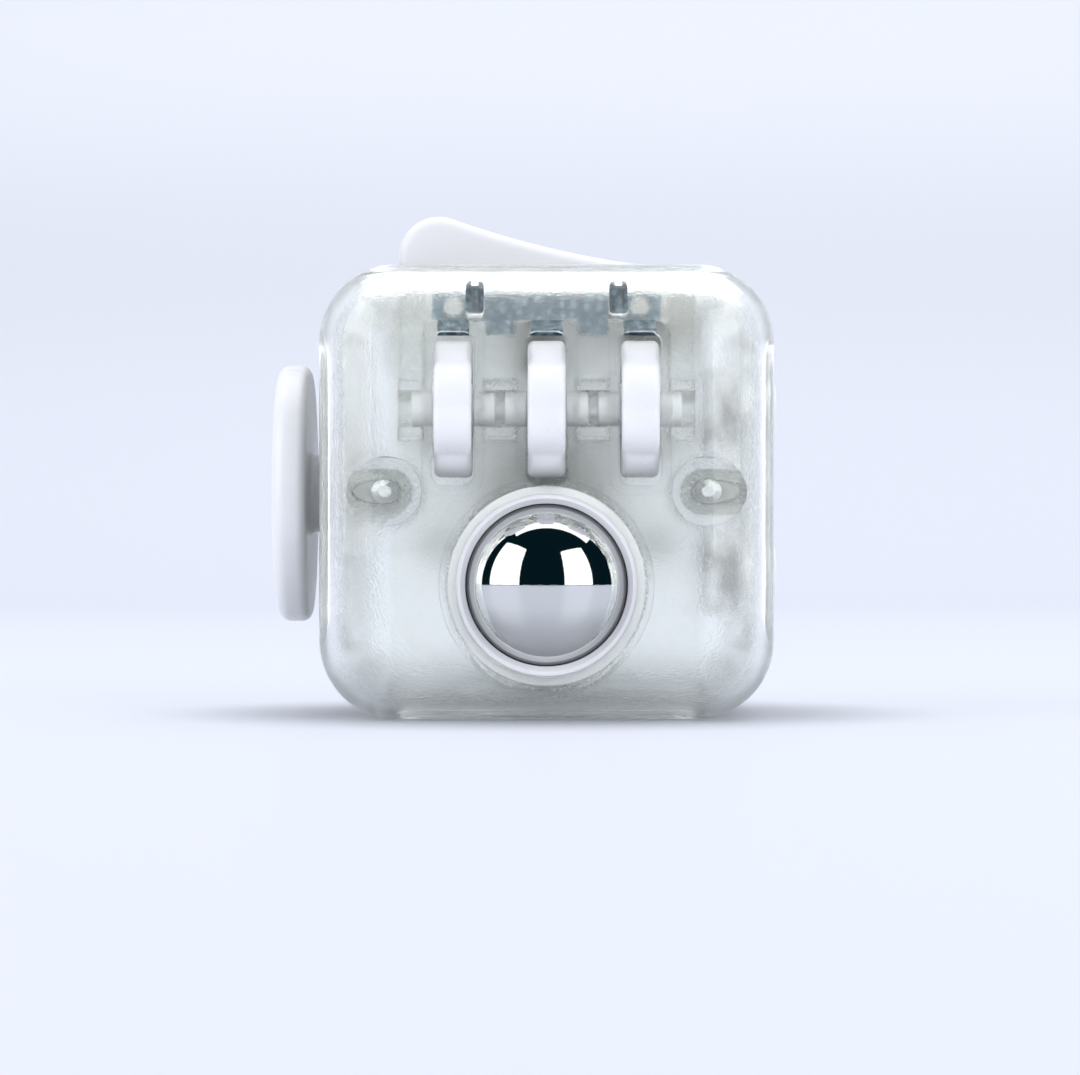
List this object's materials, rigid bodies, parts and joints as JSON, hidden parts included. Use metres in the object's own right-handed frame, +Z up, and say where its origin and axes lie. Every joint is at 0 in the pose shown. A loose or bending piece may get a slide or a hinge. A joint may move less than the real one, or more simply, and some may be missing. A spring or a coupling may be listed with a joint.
{
  "type": "fidget cube",
  "caption": "Clear desk fidget cube with detent wheels, a pressable ball, a spinning dial, a rocker, push buttons, a thumb stick and a shallow thumb dish.",
  "frame": {"origin": "middle of the flat bottom face the cube stands on", "axes": "+Z up through the rocker face, -Y out of the face with the wheels and the ball, -X out of the dial face"},
  "size_m": [0.037, 0.0411, 0.037],
  "materials": {
    "clear_shell": "clear moulded plastic, glossy outside and lightly frosted inside",
    "clear_inner": "clear moulded plastic, frosted",
    "white_plastic": "white moulded plastic, satin",
    "chrome_ball": "polished steel",
    "spring_steel": "rolled spring steel, matt",
    "dome_steel": "thin stainless disc",
    "hardware_steel": "zinc-plated steel",
    "grey_rubber": "soft grey silicone",
    "seat_plastic": "low-friction plastic"
  },
  "bodies": {
    "case": {"front_shell": "clear_shell", "rear_shell": "clear_shell", "top_panel": "clear_shell", "bottom_panel": "clear_shell", "left_panel": "clear_shell", "right_panel": "clear_shell", "wheel_cradle": "clear_inner", "wheel_leaf_spring": "spring_steel", "ball_ring": "white_plastic", "ball_spring": "hardware_steel", "ball_dome": "dome_steel", "roll_cover": "clear_inner", "cover_screws": "hardware_steel", "rocker_pin": "hardware_steel", "rocker_housing": "clear_inner", "click_domes": "dome_steel", "quiet_pads": "grey_rubber", "button_plate": "clear_inner", "plate_screws": "hardware_steel", "joystick_holder": "clear_inner", "joystick_spring": "hardware_steel", "holder_screws": "hardware_steel"},
    "left_wheel": {"wheel_left": "white_plastic"},
    "middle_wheel": {"wheel_middle": "white_plastic"},
    "right_wheel": {"wheel_right": "white_plastic"},
    "ball_carrier": {"ball_cradle": "white_plastic"},
    "ball_turntable": {"ball_seat": "seat_plastic"},
    "roll_ball": {"ball": "chrome_ball"},
    "dial": {"spin_dial": "white_plastic", "spin_washer": "hardware_steel", "spin_screw": "hardware_steel"},
    "flip_rocker": {"rocker": "white_plastic", "rocker_plunger": "hardware_steel", "rocker_spring": "hardware_steel"},
    "push_button_1": {"button_1": "white_plastic"},
    "push_button_2": {"button_2": "white_plastic"},
    "push_button_3": {"button_3": "white_plastic"},
    "push_button_4": {"button_4": "white_plastic"},
    "push_button_5": {"button_5": "white_plastic"},
    "stick_ring": {"joystick_gimbal": "hardware_steel"},
    "stick": {"joystick_stick": "white_plastic", "joystick_cap": "grey_rubber"}
  },
  "joints": [
    {"name": "left_wheel_roll", "type": "hinge", "parent": "case", "child": "left_wheel", "pos_m": [-0.0067, -0.0128, 0.0224], "axis": [1, 0, 0], "continuous": true},
    {"name": "middle_wheel_roll", "type": "hinge", "parent": "case", "child": "middle_wheel", "pos_m": [0, -0.0128, 0.0224], "axis": [1, 0, 0], "continuous": true},
    {"name": "right_wheel_roll", "type": "hinge", "parent": "case", "child": "right_wheel", "pos_m": [0.0067, -0.0128, 0.0224], "axis": [1, 0, 0], "continuous": true},
    {"name": "ball_press", "type": "slide", "parent": "case", "child": "ball_carrier", "axis": [0, 1, 0], "range_m": [0, 0.0007], "stiffness_N_per_m": 900, "springref_m": -0.0004, "deforming": ["ball_spring", "ball_dome"]},
    {"name": "ball_turn", "type": "hinge", "parent": "ball_carrier", "child": "ball_turntable", "pos_m": [0, -0.0139, 0.0098], "axis": [0, 1, 0], "continuous": true},
    {"name": "ball_roll", "type": "hinge", "parent": "ball_turntable", "child": "roll_ball", "pos_m": [0, -0.0139, 0.0098], "axis": [1, 0, 0], "continuous": true},
    {"name": "dial_spin", "type": "hinge", "parent": "case", "child": "dial", "pos_m": [-0.0165, 0, 0.0165], "axis": [1, 0, 0], "continuous": true},
    {"name": "rocker_flip", "type": "hinge", "parent": "case", "child": "flip_rocker", "pos_m": [0, 0, 0.0314], "axis": [0, 1, 0], "range_deg": [-26, 0]},
    {"name": "button_1_press", "type": "slide", "parent": "case", "child": "push_button_1", "axis": [-1, 0, 0], "range_m": [0, 0.0007], "stiffness_N_per_m": 900, "springref_m": -0.0004, "deforming": ["click_domes"]},
    {"name": "button_2_press", "type": "slide", "parent": "case", "child": "push_button_2", "axis": [-1, 0, 0], "range_m": [0, 0.0007], "stiffness_N_per_m": 900, "springref_m": -0.0004, "deforming": ["click_domes"]},
    {"name": "button_3_press", "type": "slide", "parent": "case", "child": "push_button_3", "axis": [-1, 0, 0], "range_m": [0, 0.0007], "stiffness_N_per_m": 900, "springref_m": -0.0004, "deforming": ["quiet_pads"]},
    {"name": "button_4_press", "type": "slide", "parent": "case", "child": "push_button_4", "axis": [-1, 0, 0], "range_m": [0, 0.0007], "stiffness_N_per_m": 900, "springref_m": -0.0004, "deforming": ["quiet_pads"]},
    {"name": "button_5_press", "type": "slide", "parent": "case", "child": "push_button_5", "axis": [-1, 0, 0], "range_m": [0, 0.0007], "stiffness_N_per_m": 900, "springref_m": -0.0004, "deforming": ["click_domes"]},
    {"name": "stick_pitch", "type": "hinge", "parent": "case", "child": "stick_ring", "pos_m": [0, 0.0085, 0.0165], "axis": [1, 0, 0], "range_deg": [-9, 9], "stiffness_Nm_per_rad": 0.02, "deforming": ["joystick_spring"]},
    {"name": "stick_yaw", "type": "hinge", "parent": "stick_ring", "child": "stick", "pos_m": [0, 0.0085, 0.0165], "axis": [0, 0, 1], "range_deg": [-9, 9], "stiffness_Nm_per_rad": 0.02, "deforming": ["joystick_spring"]}
  ]
}
